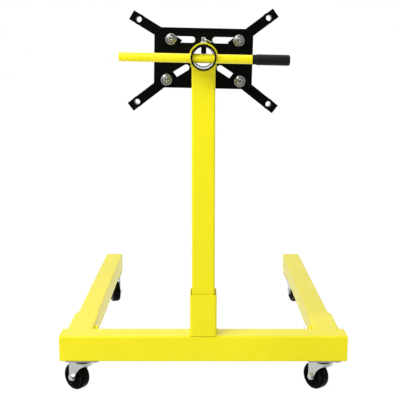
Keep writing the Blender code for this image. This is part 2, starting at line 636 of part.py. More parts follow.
def build_caster(name, stand, x, y, plate_turn, finishes):
    """A swivel caster: fixed plate, fork, axle and wheel."""
    place = (x, y, 0.0)
    base = add_empty("frame_caster_" + name, stand, place)
    plate_outline = rounded_rectangle(CASTER_PLATE_LONG, CASTER_PLATE_WIDE, CASTER_PLATE_CORNER)
    plate = add_part("caster_plate_" + name, prism(plate_outline, CASTER_PLATE), finishes["zinc"], base,
                     (0.0, 0.0, PLATE_UNDER), (0.0, 0.0, plate_turn))
    race_start = PLATE_UNDER - RACE_DEPTH
    race = turned([(RACE_FOOT, race_start), (RACE_RADIUS, PLATE_UNDER + CASTER_PLATE / 2)], SMALL_ROUND)
    weld(plate, race, base, (0.0, 0.0, 0.0))
    king_hole = rod(KINGPIN_DIAMETER / 2 + PLAY, race_start - RACE_GAP, CASTER_TOP + GAP)
    cut(plate, king_hole, base, (0.0, 0.0, 0.0))

    swivel = add_empty("axis_swivel_" + name, base, (0.0, 0.0, 0.0), (0.0, 0.0, CASTER_HEADINGS[name]))
    fork = add_part("fork_" + name, prism(crown_outline(), CROWN_THICKNESS), finishes["zinc"], swivel,
                    (0.0, 0.0, CROWN_UNDER))
    for side in (-1, 1):
        leg = prism(fork_leg_outline(), FORK_SHEET)
        weld(fork, leg, swivel, (0.0, side * FORK_INSIDE + (side + 1) / 2 * FORK_SHEET, 0.0), ALONG_MINUS_Y)
    skirt = prism(skirt_outline(), CROWN_SKIRT + CROWN_THICKNESS / 2)
    weld(fork, skirt, swivel, (0.0, 0.0, CROWN_UNDER - CROWN_SKIRT))
    kingpin = rod(KINGPIN_DIAMETER / 2, CROWN_UNDER + CROWN_THICKNESS / 2, PLATE_UNDER + CASTER_PLATE / 2)
    weld(fork, kingpin, swivel, (0.0, 0.0, 0.0))

    axle_axis = add_empty("axis_wheel_" + name, swivel, (FORK_TRAIL, 0.0, WHEEL_DIAMETER / 2))
    cut(fork, rod(AXLE_DIAMETER / 2 + GAP, -2 * FORK_OUTSIDE, 2 * FORK_OUTSIDE), axle_axis,
        (0.0, 0.0, 0.0), ALONG_Y)
    shank = circle(AXLE_DIAMETER / 2, HARDWARE_ROUND)
    head = hexagon(AXLE_FLATS)
    seat = FORK_OUTSIDE + GAP
    axle = solid([(head, -seat - AXLE_HEAD), (head, -seat), (shank, -seat),
                  (shank, seat), (head, seat), (head, seat + AXLE_HEAD)])
    add_part("axle_" + name, axle, finishes["zinc"], axle_axis, rotation=ALONG_Y)
    add_part("wheel_" + name, wheel_mesh(), finishes["tyre"], axle_axis, rotation=ALONG_Y)


def wheel_mesh():
    """A moulded wheel with a rounded tread, a sunk web and a hub."""
    half_width = WHEEL_WIDTH / 2
    radius = WHEEL_DIAMETER / 2
    bore = AXLE_DIAMETER / 2 + PLAY
    hub = HUB_DIAMETER / 2
    hub_side = half_width + HUB_PROUD
    web_side = half_width - WHEEL_WEB_SINK
    shoulder_centre = (radius - WHEEL_SHOULDER, half_width - WHEEL_SHOULDER)
    shoulder = arc(shoulder_centre, WHEEL_SHOULDER, 0.0, math.pi / 2, 2)
    upper = shoulder + [(WHEEL_RIM_RADIUS, half_width), (WHEEL_RIM_RADIUS, web_side),
                        (hub, web_side), (hub, hub_side), (bore, hub_side)]
    lower = [(reach, -height) for reach, height in reversed(upper)]
    return turned(lower + upper, SMALL_ROUND, hollow=True)


def main():
    clear_scene()
    finishes = {
        "yellow": make_finish("yellow_paint", (0.93, 0.82, 0.015), 0.35, 0.0),
        "black": make_finish("black_paint", (0.008, 0.008, 0.009), 0.38, 0.0),
        "zinc": make_finish("zinc_plate", (0.60, 0.62, 0.60), 0.38, 1.0),
        "tyre": make_finish("black_wheel", (0.012, 0.012, 0.012), 0.45, 0.0),
        "grip": make_finish("charcoal_grip", (0.016, 0.018, 0.021), 0.60, 0.0),
        "black_plastic": make_finish("black_cap", (0.015, 0.015, 0.015), 0.50, 0.0),
    }
    stand = add_empty("stand", None, (0.0, -(STAND_FRONT + STAND_BACK) / 2, 0.0))
    head_axis = add_empty("axis_head", stand, (0.0, 0.0, HEAD_HEIGHT), (HEAD_TILT, 0.0, 0.0))
    head_turn = add_empty("frame_head", head_axis, (0.0, 0.0, 0.0), (0.0, HEAD_TURN, 0.0))

    build_crossbeam(stand, finishes)
    build_post(stand, head_axis, finishes)
    build_leg(-1, "left", stand, finishes)
    build_leg(1, "right", stand, finishes)
    build_sleeve(head_axis, finishes)
    build_lock_pin(head_axis, finishes)
    build_head(head_axis, head_turn, finishes)
    build_handle(head_turn, finishes)

    front_x = BEAM_LENGTH / 2 - FRONT_CASTER_INSET
    rear_x = LEG_X
    rear_y = LEG_END - REAR_CASTER_INSET
    build_caster("front_left", stand, -front_x, 0.0, 0.0, finishes)
    build_caster("front_right", stand, front_x, 0.0, 0.0, finishes)
    build_caster("rear_left", stand, -rear_x, rear_y, math.pi / 2, finishes)
    build_caster("rear_right", stand, rear_x, rear_y, math.pi / 2, finishes)


main()
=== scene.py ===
"""Engine stand: painted frame, welds, fasteners, casters and a plain studio."""

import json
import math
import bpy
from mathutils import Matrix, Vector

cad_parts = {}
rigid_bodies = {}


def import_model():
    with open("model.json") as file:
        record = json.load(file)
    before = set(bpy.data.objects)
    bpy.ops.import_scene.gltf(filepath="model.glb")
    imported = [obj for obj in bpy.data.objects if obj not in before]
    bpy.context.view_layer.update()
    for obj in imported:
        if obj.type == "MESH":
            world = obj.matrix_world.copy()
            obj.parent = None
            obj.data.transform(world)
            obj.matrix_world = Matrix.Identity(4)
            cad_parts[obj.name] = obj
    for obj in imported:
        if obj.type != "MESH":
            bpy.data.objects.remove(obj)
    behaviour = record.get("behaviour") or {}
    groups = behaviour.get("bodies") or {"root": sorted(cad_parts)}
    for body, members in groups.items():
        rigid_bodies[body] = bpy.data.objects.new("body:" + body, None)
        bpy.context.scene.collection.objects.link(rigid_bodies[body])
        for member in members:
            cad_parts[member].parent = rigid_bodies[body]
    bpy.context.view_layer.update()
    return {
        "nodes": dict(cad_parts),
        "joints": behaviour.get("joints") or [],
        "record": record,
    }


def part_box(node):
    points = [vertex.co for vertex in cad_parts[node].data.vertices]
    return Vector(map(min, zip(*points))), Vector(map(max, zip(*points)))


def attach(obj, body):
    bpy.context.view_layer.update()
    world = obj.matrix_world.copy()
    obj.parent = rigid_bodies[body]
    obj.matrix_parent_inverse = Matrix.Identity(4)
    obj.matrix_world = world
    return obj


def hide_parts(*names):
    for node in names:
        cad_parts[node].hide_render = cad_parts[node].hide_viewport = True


bl_info = {
    "name": "Engine stand",
    "version": (1, 0, 0),
    "blender": (4, 5, 0),
    "location": "3D View > Sidebar > Engine stand",
    "description": "Dresses the packed engine stand and sets up its studio",
    "category": "Object",
}

import bmesh
import bpy
from bpy.props import FloatProperty, FloatVectorProperty, IntProperty, PointerProperty
from mathutils import Matrix, Vector

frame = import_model()

ARMS = ("upper_left", "upper_right", "lower_left", "lower_right")
CASTERS = ("front_left", "front_right", "rear_left", "rear_right")
SIDES = ("left", "right")
JOINTS = {joint["name"]: joint for joint in frame["joints"]}
SLOTS = {part["node"]: part["material_slot"] for part in frame["record"]["subparts"]}
BODIES = {node: body for body, nodes in frame["record"]["behaviour"]["bodies"].items() for node in nodes}
BEAM_LOW, BEAM_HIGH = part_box("crossbeam")

MERGE = 1e-5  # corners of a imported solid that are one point
FLAT = math.radians(0.5)  # facets this close to level are one face
CREASE = math.radians(35.0)  # edges sharper than this stay sharp
FINE = 64  # sides of a smooth turned piece
HEX_FINE = 48  # points round a hexagon, eight for each side
CHAMFER = math.tan(math.radians(30.0))
CHAMFER_RIM = 0.93  # where a hexagon's chamfer starts, as a share of its flats
NUT_SINK = 0.001  # countersink of a nut's bore
PLAY = 0.0003  # gap round a bolt or a bar in its hole
PIN_PLAY = 0.0005  # gap round the lock pin
FINE_PITCH = 0.85  # thread pitch of the set bolts beside the arms' bolts
THREAD_SINK = 0.12  # how deep a thread's ridge sits in its shank, in pitches
THREAD_RIDGE = 0.32  # radius of a thread's ridge, in pitches
LIP_DEPTH = 0.004  # length of the lip inside the turning tube's far end
TUBE_CORNER = 0.006  # rounding of the sockets' and the crossbeam's corners


# Settings

def colour_setting(name, description, default):
    """A colour that can be changed."""
    return FloatVectorProperty(name=name, description=description, default=default,
                               subtype="COLOR", size=3, min=0.0, max=1.0)


def length_setting(name, description, default, low, high):
    """A length in metres that can be changed."""
    return FloatProperty(name=name, description=description, default=default,
                         unit="LENGTH", min=low, max=high)


def count_setting(name, description, default, low):
    """A whole number that can be changed."""
    return IntProperty(name=name, description=description, default=default, min=low)


def light_setting(name, description, default):
    """A strength of light that can be changed."""
    return FloatProperty(name=name, description=description, default=default, min=0.0)


class StandFinishes(bpy.types.PropertyGroup):
    """Colours of the stand's surfaces."""

    yellow: colour_setting(
        "Frame coat", "Powder coat on the tubes and the handle bar", (0.935, 0.825, 0.004))
    black: colour_setting(
        "Head coat", "Paint on the turning tube, the plate and the arms", (0.0012, 0.0012, 0.0013))
    zinc: colour_setting("Zinc", "Plating on the bolts and the casters", (0.66, 0.67, 0.66))
    wheel: colour_setting("Wheels", "Moulded caster wheels", (0.0016, 0.0016, 0.0015))
    grip: colour_setting("Grip", "Soft sleeve on the handle", (0.0075, 0.0082, 0.0095))
    cap: colour_setting("End caps", "Moulded caps in the tube ends", (0.007, 0.007, 0.007))


class StandDetails(bpy.types.PropertyGroup):
    """Sizes of the welds, edges and fasteners."""

    edge: length_setting("Edge rounding", "Rounding of cut and sheared edges", 0.0005, 0.0, 0.002)
    bead_width: length_setting("Weld width", "Width of a weld bead", 0.0052, 0.001, 0.01)
    bead_pitch: length_setting(
        "Weld ripple", "Distance between the ripples of a weld bead", 0.0019, 0.0005, 0.005)
    bead_seed: count_setting("Weld seed", "Seed of the unevenness of the ripples", 7, 0)
    thread_pitch: length_setting(
        "Thread pitch", "Distance between turns of a bolt's thread", 0.00175, 0.0005, 0.004)
    index_count: count_setting("Index holes", "Holes round the turning tube for the lock pin", 8, 1)
    index_hole: length_setting("Index hole", "Diameter of a hole for the lock pin", 0.0105, 0.005, 0.015)
    tube_lip: length_setting(
        "Tube lip", "Step inside the turning tube where the plate closes round its end", 0.0018, 0.0, 0.004)
    ring_growth: FloatProperty(
        name="Pull ring growth", description="Size of the pull ring beside the packed one",
        min=1.0, max=1.3, default=1.2)
    ring_wire: length_setting("Pull ring wire", "Diameter of the pull ring's wire", 0.0026, 0.001, 0.003)
    rib_count: count_setting("Wheel ribs", "Ribs on each side of a caster wheel's web", 8, 3)
    ball_count: count_setting("Caster balls", "Balls in the race of each caster", 28, 8)
    plate_bolt_flats: length_setting(
        "Caster bolt", "Width across flats of the bolts under a caster plate", 0.010, 0.004, 0.02)


class StandStudio(bpy.types.PropertyGroup):
    """Camera and light."""

    camera_place: FloatVectorProperty(
        name="Camera", description="Place of the camera",
        subtype="TRANSLATION", unit="LENGTH", size=3,
        default=(-0.0054, (BEAM_LOW[1] + BEAM_HIGH[1]) / 2 - 1.7802, 0.7466))
    camera_dip: FloatProperty(
        name="Camera dip", description="How far the camera looks below the level",
        subtype="ANGLE", default=math.radians(9.577))
    camera_swing: FloatProperty(
        name="Camera swing", description="How far the camera is turned to the left",
        subtype="ANGLE", default=math.radians(0.069))
    lens: FloatProperty(
        name="Lens", description="Focal length on a 36 mm sensor, in millimetres",
        min=10.0, max=300.0, default=73.17)
    sky: light_setting("Room light", "Strength of the even light from all round", 0.55)
    key: light_setting("Key light", "Power of the large soft lamp, in watts", 38.0)
    fill: light_setting("Fill light", "Power of the lamp on the other side, in watts", 1.0)
    top: light_setting("Top light", "Power of the lamp overhead, in watts", 18.0)


class StandSettings(bpy.types.PropertyGroup):
    """Everything that can be changed on the engine stand."""

    finishes: PointerProperty(type=StandFinishes)
    details: PointerProperty(type=StandDetails)
    studio: PointerProperty(type=StandStudio)


# Nodes and materials

def configure(thing, **settings):
    """Set several properties of a thing and hand it back."""
    for name, value in settings.items():
        setattr(thing, name, value)
    return thing


def feed(tree, node, inputs):
    """Link each input of a node to a socket, or set it to a value."""
    for name, value in inputs.items():
        if isinstance(value, bpy.types.NodeSocket):
            tree.links.new(value, node.inputs[name])
        else:
            node.inputs[name].default_value = value


def add_node(tree, kind, inputs=None, **settings):
    """A shader or geometry node with its settings, and its inputs linked or set."""
    node = configure(tree.nodes.new(kind), **settings)
    feed(tree, node, inputs or {})
    return node


def wire(tree, kind, inputs=None, **settings):
    """The first output in use of a new node."""
    node = add_node(tree, kind, inputs, **settings)
    return next(socket for socket in node.outputs if socket.enabled)


def noise_on(tree, place, scale, detail=3.0, stretch=(1.0, 1.0, 1.0)):
    """Noise over the object's own coordinates, as a 0 to 1 factor."""
    mapped = wire(tree, "ShaderNodeMapping", {"Vector": place, "Scale": stretch})
    return wire(tree, "ShaderNodeTexNoise", {
        "Vector": mapped, "Scale": scale, "Detail": detail, "Roughness": 0.55})


def cells_on(tree, place, scale):
    """Cells over the object's own coordinates, as the distance from a cell's middle."""
    return wire(tree, "ShaderNodeTexVoronoi", {"Vector": place, "Scale": scale})


def spread(tree, factor, low, high, start=0.3, end=0.7):
    """Map a noise factor to a span of values."""
    return wire(tree, "ShaderNodeMapRange", {
        "Value": factor, "From Min": start, "From Max": end, "To Min": low, "To Max": high})


def blend_colours(tree, factor, first, second):
    """A colour between two, by a factor."""
    return wire(tree, "ShaderNodeMix", {"Factor": factor, "A": first, "B": second}, data_type="RGBA")


def bump(tree, height, strength, depth, below=None):
    """A bump from a height, on top of another bump where there is one."""
    inputs = {"Height": height, "Strength": strength, "Distance": depth}
    if below is not None:
        inputs["Normal"] = below
    return wire(tree, "ShaderNodeBump", inputs)


def tinted(colour, amount):
    """A lighter or darker colour, ready for a socket."""
    return (*(min(1.0, part * amount) for part in colour), 1.0)


def start_material(name):
    """A material, its node tree, and the object coordinates to paint it by."""
    material = bpy.data.materials.new(name)
    material.use_nodes = True
    tree = material.node_tree
    return material, tree, add_node(tree, "ShaderNodeTexCoord").outputs["Object"]


def powder_coat(name, colour, roughness, gloss):
    """Sprayed and baked paint: orange peel, slow shifts of tone, faint rub marks."""
    material, tree, place = start_material(name)
    tone = spread(tree, noise_on(tree, place, 7.0), 0.0, 1.0)
    rubbed = noise_on(tree, place, 38.0, 5.0, (1.0, 1.0, 0.35))
    waves = bump(tree, noise_on(tree, place, 130.0, 1.0), 0.07, 0.0003)
    feed(tree, tree.nodes["Principled BSDF"], {
        "Base Color": blend_colours(tree, tone, tinted(colour, 0.955), tinted(colour, 1.02)),
        "Roughness": spread(tree, rubbed, roughness - 0.03, roughness + 0.05),
        "Normal": bump(tree, noise_on(tree, place, 560.0, 1.0), 0.09, 0.00012, waves),
        "Specular IOR Level": gloss,
        "Coat Weight": 0.06,
        "Coat Roughness": 0.12})
    return material


def zinc_plate(name, colour):
    """Bright plating with faint spangle, drawing marks and dull patches."""
    material, tree, place = start_material(name)
    spangle = spread(tree, cells_on(tree, place, 210.0), 0.0, 1.0, 0.0, 0.8)
    flakes = blend_colours(tree, spangle, tinted(colour, 1.06), tinted(colour, 0.90))
    tarnish = spread(tree, noise_on(tree, place, 55.0, 4.0), 0.0, 0.55, 0.45, 0.75)
    dull = (colour[0] * 0.80, colour[1] * 0.79, colour[2] * 0.74, 1.0)
    drawn = noise_on(tree, place, 500.0, 2.0, (1.0, 1.0, 0.06))
    feed(tree, tree.nodes["Principled BSDF"], {
        "Metallic": 1.0,
        "Base Color": blend_colours(tree, tarnish, flakes, dull),
        "Roughness": spread(tree, noise_on(tree, place, 90.0, 4.0), 0.17, 0.33),
        "Normal": bump(tree, drawn, 0.08, 0.0002)})
    return material


def moulded_plastic(name, colour, roughness, gloss, grain, depth):
    """Moulded plastic or rubber with a fine tool grain and scuffs."""
    material, tree, place = start_material(name)
    tone = spread(tree, noise_on(tree, place, 30.0, 4.0), 0.0, 1.0)
    scuffs = noise_on(tree, place, 75.0, 6.0)
    feed(tree, tree.nodes["Principled BSDF"], {
        "Base Color": blend_colours(tree, tone, tinted(colour, 0.85), tinted(colour, 1.25)),
        "Roughness": spread(tree, scuffs, roughness - 0.07, roughness + 0.12, 0.35, 0.75),
        "Normal": bump(tree, cells_on(tree, place, grain), 0.25, depth),
        "Specular IOR Level": gloss})
    return material


# For each slot of the record: maker, material, colour, then roughness, gloss, grain and its depth
FINISH_MAKERS = {
    "yellow_paint": (powder_coat, "yellow_powder_coat", "yellow", 0.32, 0.30),
    "black_paint": (powder_coat, "black_satin_paint", "black", 0.38, 0.10),
    "zinc_plate": (zinc_plate, "zinc_plating", "zinc"),
    "wheel_plastic": (moulded_plastic, "wheel_plastic", "wheel", 0.16, 0.04, 900.0, 0.00003),
    "grip_rubber": (moulded_plastic, "grip_rubber", "grip", 0.55, 0.20, 700.0, 0.00022),
    "cap_plastic": (moulded_plastic, "cap_plastic", "cap", 0.42, 0.30, 800.0, 0.00012),
}
finishes = {}


def finish_for(slot):
    """The material of one of the record's slots, made when it is first asked for."""
    if slot not in finishes:
        maker, name, colour, *looks = FINISH_MAKERS[slot]
        colours = bpy.context.scene.engine_stand.finishes
        finishes[slot] = maker(name, getattr(colours, colour), *looks)
    return finishes[slot]


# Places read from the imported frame

def axis_frame(origin, along, across):
    """A frame whose Z runs along an axis and whose X is as near as can be to another."""
    z = Vector(along).normalized()
    y = z.cross(Vector(across)).normalized()
    x = y.cross(z)
    turn = Matrix((x, y, z)).transposed().to_4x4()
    return Matrix.Translation(Vector(origin)) @ turn


def middle_of(node):
    """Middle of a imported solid's box."""
    low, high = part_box(node)
    return (Vector(low) + Vector(high)) / 2


def corners_in(node, place):
    """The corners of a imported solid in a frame."""
    back = place.inverted()
    return [back @ corner.co for corner in frame["nodes"][node].data.vertices]


def extent(node, place):
    """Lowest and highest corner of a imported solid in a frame."""
    spans = list(zip(*corners_in(node, place)))
    return Vector([min(span) for span in spans]), Vector([max(span) for span in spans])


def reaches(node, place):
    """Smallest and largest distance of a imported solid's corners from a frame's Z."""
    spans = [corner.xy.length for corner in corners_in(node, place)]
    return min(spans), max(spans)


def flats_of(high):
    """Width across the flats of a packed hexagon, from its highest corner."""
    return min(high.x, high.y) * 2


HEAD_AXIS = Vector(JOINTS["head_turn"]["axis"])
HEAD_ORIGIN = Vector(JOINTS["head_turn"]["pos_m"])
HEAD_FRAME = axis_frame(HEAD_ORIGIN, HEAD_AXIS, (1.0, 0.0, 0.0))
HANDLE_AXIS = Vector(JOINTS["handle_slide"]["axis"])
PIN_FRAME = axis_frame(middle_of("lock_pin"), JOINTS["lock_pin_slide"]["axis"], HEAD_AXIS)


def arm_place(arm):
    """A frame at an arm's pivot, X along the arm, with its bar's face and its spacer's reach and radius."""
    node = "arm_" + arm
    level = axis_frame(JOINTS["swing_" + arm]["pos_m"], HEAD_AXIS, HANDLE_AXIS)
    end = extent(node, level)[1].z
    tip = [corner for corner in corners_in(node, level) if corner.z > end - MERGE]
    middle = sum(tip, Vector()) / len(tip)
    place = level @ Matrix.Rotation(math.atan2(middle.y, middle.x), 4, "Z")
    corners = corners_in(node, place)
    across = [corner.x for corner in corners if corner.z > end - MERGE]
    step = 0.005
    face = max(corner.z for corner in corners if corner.z < end - step)
    return place, face, (min(across) + max(across)) / 2, (max(across) - min(across)) / 2


# Shapes

def circle(radius, height, sides=FINE):
    """A level ring of points."""
    turns = [2 * math.pi * step / sides for step in range(sides)]
    return [Vector((radius * math.cos(turn), radius * math.sin(turn), height)) for turn in turns]


def hexagon(flats, height, chamfer=0.0):
    """A hexagon's ring of points, bent down to a chamfer's cone where one is given."""
    points = []
    for step in range(HEX_FINE):
        turn = 2 * math.pi * step / HEX_FINE
        reach = flats / 2 / math.cos(turn % (math.pi / 3) - math.pi / 6)
        drop = (reach - flats / 2 * CHAMFER_RIM) * chamfer
        points.append(Vector((reach * math.cos(turn), reach * math.sin(turn), height - drop)))
    return points


def turned_over(points, height):
    """A ring of points mirrored to the other side of a level."""
    return [Vector((point.x, point.y, 2 * height - point.z)) for point in points]


def arc(centre, radius, start, end, steps):
    """Points of a profile along an arc, both ends included."""
    turns = [math.radians(start + (end - start) * step / steps) for step in range(steps + 1)]
    return [(centre[0] + radius * math.cos(turn), centre[1] + radius * math.sin(turn)) for turn in turns]


def finished_mesh(shape):
    """A plain mesh of what was built, which is then let go."""
    mesh = bpy.data.meshes.new("shape")
    shape.to_mesh(mesh)
    shape.free()
    return mesh


def skin(rings, hollow=False):
    """A closed mesh through rings of equal count, capped at its ends or joined into a loop."""
    shape = bmesh.new()
    loops = [[shape.verts.new(point) for point in ring] for ring in rings]
    pairs = list(zip(loops, loops[1:]))
    if hollow:
        pairs.append((loops[-1], loops[0]))
    else:
        shape.faces.new(loops[0])
        shape.faces.new(loops[-1])
    for low, high in pairs:
        for here in range(len(low)):
            after = (here + 1) % len(low)
            shape.faces.new((low[here], low[after], high[after], high[here]))
    bmesh.ops.recalc_face_normals(shape, faces=shape.faces)
    return finished_mesh(shape)


def turned(profile, sides=FINE, hollow=False):
    """A body of revolution about Z from (radius, height) points."""
    return skin([circle(radius, height, sides) for radius, height in profile], hollow)


def rod(radius, start, end, sides=FINE):
    """A round bar along Z."""
    return turned([(radius, start), (radius, end)], sides)


def pipe(inside, outside, start, end, ease, lip=0.0):
    """A round tube along Z with eased ends, and with a lip inside its far end where one is given."""
    mouth = inside - lip
    profile = [(inside, start + ease), (inside + ease, start), (outside - ease, start)]
    profile += [(outside, start + ease), (outside, end - ease), (outside - ease, end)]
    profile += [(mouth + ease, end), (mouth, end - ease)]
    if lip:
        profile += [(mouth, end - LIP_DEPTH), (inside, end - LIP_DEPTH)]
    return turned(profile, hollow=True)


def block(low, high):
    """A box between two corners."""
    sides = ((low[0], low[1]), (high[0], low[1]), (high[0], high[1]), (low[0], high[1]))
    return skin([[Vector((x, y, z)) for x, y in sides] for z in (low[2], high[2])])


def line(points, closed=False):
    """A mesh of edges through points."""
    ends = [(here, here + 1) for here in range(len(points) - 1)]
    if closed:
        ends.append((len(points) - 1, 0))
    mesh = bpy.data.meshes.new("path")
    mesh.from_pydata(points, ends, [])
    return mesh


def ring(place, radius):
    """A round seam in the level plane of a frame."""
    return line([place @ point for point in circle(radius, 0.0)], closed=True)


def placed(mesh, place):
    """The mesh itself, moved to its place."""
    mesh.transform(place)
    return mesh


def joined(meshes):
    """One mesh out of several."""
    shape = bmesh.new()
    for mesh in meshes:
        shape.from_mesh(mesh)
    return finished_mesh(shape)


def add_object(name, data):
    """A new object in the scene."""
    thing = bpy.data.objects.new(name, data)
    bpy.context.scene.collection.objects.link(thing)
    return thing


def show(name, mesh, body, slot, stands_for=()):
    """A finished piece: painted, smooth between its creases, riding on its body."""
    mesh.materials.clear()
    mesh.materials.append(finish_for(slot))
    mesh.polygons.foreach_set("material_index", [0] * len(mesh.polygons))
    mesh.shade_smooth()
    mesh.set_sharp_from_angle(angle=CREASE)
    piece = add_object(name, mesh)
    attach(piece, body)
    if stands_for:
        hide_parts(*stands_for)
    return piece


def show_node(node, mesh, place=Matrix.Identity(4)):
    """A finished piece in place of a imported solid."""
    return show(node + "_skin", placed(mesh, place), BODIES[node], SLOTS[node], (node,))


def show_even(node, mesh, place=Matrix.Identity(4)):
    """The same for a piece with large flat faces, whose shading is evened out."""
    piece = show_node(node, mesh, place)
    piece.modifiers.new("even_shading", "WEIGHTED_NORMAL").keep_sharp = True


def baked_modifiers(piece):
    """The piece's mesh with its modifiers applied, and the piece itself removed."""
    evaluated = piece.evaluated_get(bpy.context.evaluated_depsgraph_get())
    mesh = bpy.data.meshes.new_from_object(evaluated)
    bpy.data.objects.remove(piece)
    return mesh


def machined(mesh, drills=(), edge=0.0):
    """A mesh with holes cut by other meshes, and its sharp edges eased."""
    rough = add_object("rough", mesh)
    bits = [add_object("bit", drill) for drill in drills]
    for bit in bits:
        configure(rough.modifiers.new("hole", "BOOLEAN"), operation="DIFFERENCE", object=bit)
    if edge:
        configure(rough.modifiers.new("eased", "BEVEL"), width=edge, segments=3,
                  limit_method="ANGLE", angle_limit=CREASE, use_clamp_overlap=True)
    mesh = baked_modifiers(rough)
    for bit in bits:
        bpy.data.objects.remove(bit)
    return mesh


def thin_wall(node, shape, wall):
    """Open out the inside of an upright square tube until its wall has a given thickness."""
    middle = middle_of(node).xy
    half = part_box(node)[1][0] - middle.x
    inner = [corner for corner in shape.verts if max(map(abs, corner.co.xy - middle)) < half - wall]
    reach = max(max(map(abs, corner.co.xy - middle)) for corner in inner)
    for corner in inner:
        corner.co.xy = middle + (corner.co.xy - middle) * (half - wall) / reach


def refine(node, edge, wall=0.0):
    """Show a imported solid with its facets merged, its sharp edges eased and its wall thinned."""
    shape = bmesh.new()
    shape.from_mesh(frame["nodes"][node].data)
    bmesh.ops.remove_doubles(shape, verts=shape.verts, dist=MERGE)
    if wall:
        thin_wall(node, shape, wall)
    bmesh.ops.dissolve_limit(shape, angle_limit=FLAT, verts=shape.verts, edges=shape.edges)
    show_even(node, machined(finished_mesh(shape), edge=edge))


# Geometry node trees

def start_tree(name, lengths, counts=()):
    """A tree that takes a shape, named values and a material, and the sockets that give them."""
    tree = bpy.data.node_groups.new(name, "GeometryNodeTree")
    kinds = {"Geometry": "Geometry", **dict.fromkeys(lengths, "Float"), **dict.fromkeys(counts, "Int"),
             "Material": "Material"}
    for label, kind in kinds.items():
        tree.interface.new_socket(label, in_out="INPUT", socket_type="NodeSocket" + kind)
    tree.interface.new_socket("Geometry", in_out="OUTPUT", socket_type="NodeSocketGeometry")
    return tree, add_node(tree, "NodeGroupInput").outputs


def finish_tree(tree, shape, given):
    """Realize what the tree made, give it its material, and hand it out."""
    whole = wire(tree, "GeometryNodeRealizeInstances", {"Geometry": shape})
    painted = wire(tree, "GeometryNodeSetMaterial", {"Geometry": whole, "Material": given["Material"]})
    add_node(tree, "NodeGroupOutput", {"Geometry": painted})
    return tree


def grow(tree, seed_mesh, slot, values):
    """Run a tree on a mesh with a slot's material and named values: the plain mesh that it makes."""
    values = {**values, "Material": finish_for(slot)}
    seed = add_object("seed", seed_mesh)
    modifier = seed.modifiers.new("grow", "NODES")
    modifier.node_group = tree
    for item in tree.interface.items_tree:
        if item.item_type == "SOCKET" and item.in_out == "INPUT" and item.name in values:
            modifier[item.identifier] = values[item.name]
    return baked_modifiers(seed)


def weld_tree():
    """Overlapping ripples along a path: Bead Width, Ripple Pitch and Seed."""
    tree, given = start_tree("weld_bead", ("Bead Width", "Ripple Pitch"), ("Seed",))
    path = wire(tree, "GeometryNodeMeshToCurve", {"Mesh": given["Geometry"]})
    steps = wire(tree, "GeometryNodeResampleCurve",
                 {"Curve": path, "Length": given["Ripple Pitch"]}, mode="LENGTH")
    ripple = wire(tree, "GeometryNodeMeshUVSphere", {"Segments": 10, "Rings": 6, "Radius": 0.5})
    uneven = wire(tree, "FunctionNodeRandomValue",
                  {"Min": 0.86, "Max": 1.10, "Seed": given["Seed"]}, data_type="FLOAT")
    size = wire(tree, "ShaderNodeMath", {0: given["Bead Width"], 1: uneven}, operation="MULTIPLY")
    beads = wire(tree, "GeometryNodeInstanceOnPoints", {"Points": steps, "Instance": ripple, "Scale": size})
    return finish_tree(tree, beads, given)


def thread_tree():
    """A helical ridge round Z: Radius, Length, Turns and Ridge."""
    tree, given = start_tree("bolt_thread", ("Radius", "Length", "Turns", "Ridge"))
    helix = wire(tree, "GeometryNodeCurveSpiral", {
        "Resolution": 28, "Start Radius": given["Radius"], "End Radius": given["Radius"],
        "Height": given["Length"], "Rotations": given["Turns"]})
    ridge = wire(tree, "GeometryNodeCurvePrimitiveCircle", {"Resolution": 4, "Radius": given["Ridge"]})
    sweep = wire(tree, "GeometryNodeCurveToMesh",
                 {"Curve": helix, "Profile Curve": ridge, "Fill Caps": True})
    return finish_tree(tree, sweep, given)


def ring_tree():
    """Copies of a shape set round Z: Count and Radius."""
    tree, given = start_tree("set_round", ("Radius",), ("Count",))
    spots = wire(tree, "GeometryNodeMeshCircle", {"Vertices": given["Count"], "Radius": given["Radius"]})
    index = wire(tree, "GeometryNodeInputIndex")
    part = wire(tree, "ShaderNodeMath", {0: 2 * math.pi, 1: given["Count"]}, operation="DIVIDE")
    turn = wire(tree, "ShaderNodeMath", {0: index, 1: part}, operation="MULTIPLY")
    facing = wire(tree, "ShaderNodeCombineXYZ", {"Z": turn})
    copies = wire(tree, "GeometryNodeInstanceOnPoints", {
        "Points": spots, "Instance": given["Geometry"], "Rotation": facing})
    return finish_tree(tree, copies, given)


def corner_tree():
    """Copies of a shape at the corners of a rectangle: Width and Depth."""
    tree, given = start_tree("set_at_corners", ("Width", "Depth"))
    spots = wire(tree, "GeometryNodeMeshGrid", {
        "Vertices X": 2, "Vertices Y": 2, "Size X": given["Width"], "Size Y": given["Depth"]})
    copies = wire(tree, "GeometryNodeInstanceOnPoints", {"Points": spots, "Instance": given["Geometry"]})
    return finish_tree(tree, copies, given)


# Fasteners

def rounds(*steps):
    """Level rings from (radius, height) pairs, with as many points as a hexagon."""
    return [circle(radius, height, HEX_FINE) for radius, height in steps]


def nut_mesh(bore, flats, start, end):
    """A hexagon nut with chamfered corners and a countersunk bore."""
    rim = flats / 2 * CHAMFER_RIM
    rings = rounds((bore, start + NUT_SINK), (bore + NUT_SINK, start), (rim, start))
    rings += [turned_over(hexagon(flats, start, CHAMFER), start), hexagon(flats, end, CHAMFER)]
    rings += rounds((rim, end), (bore + NUT_SINK, end), (bore, end - NUT_SINK))
    return skin(rings, hollow=True)


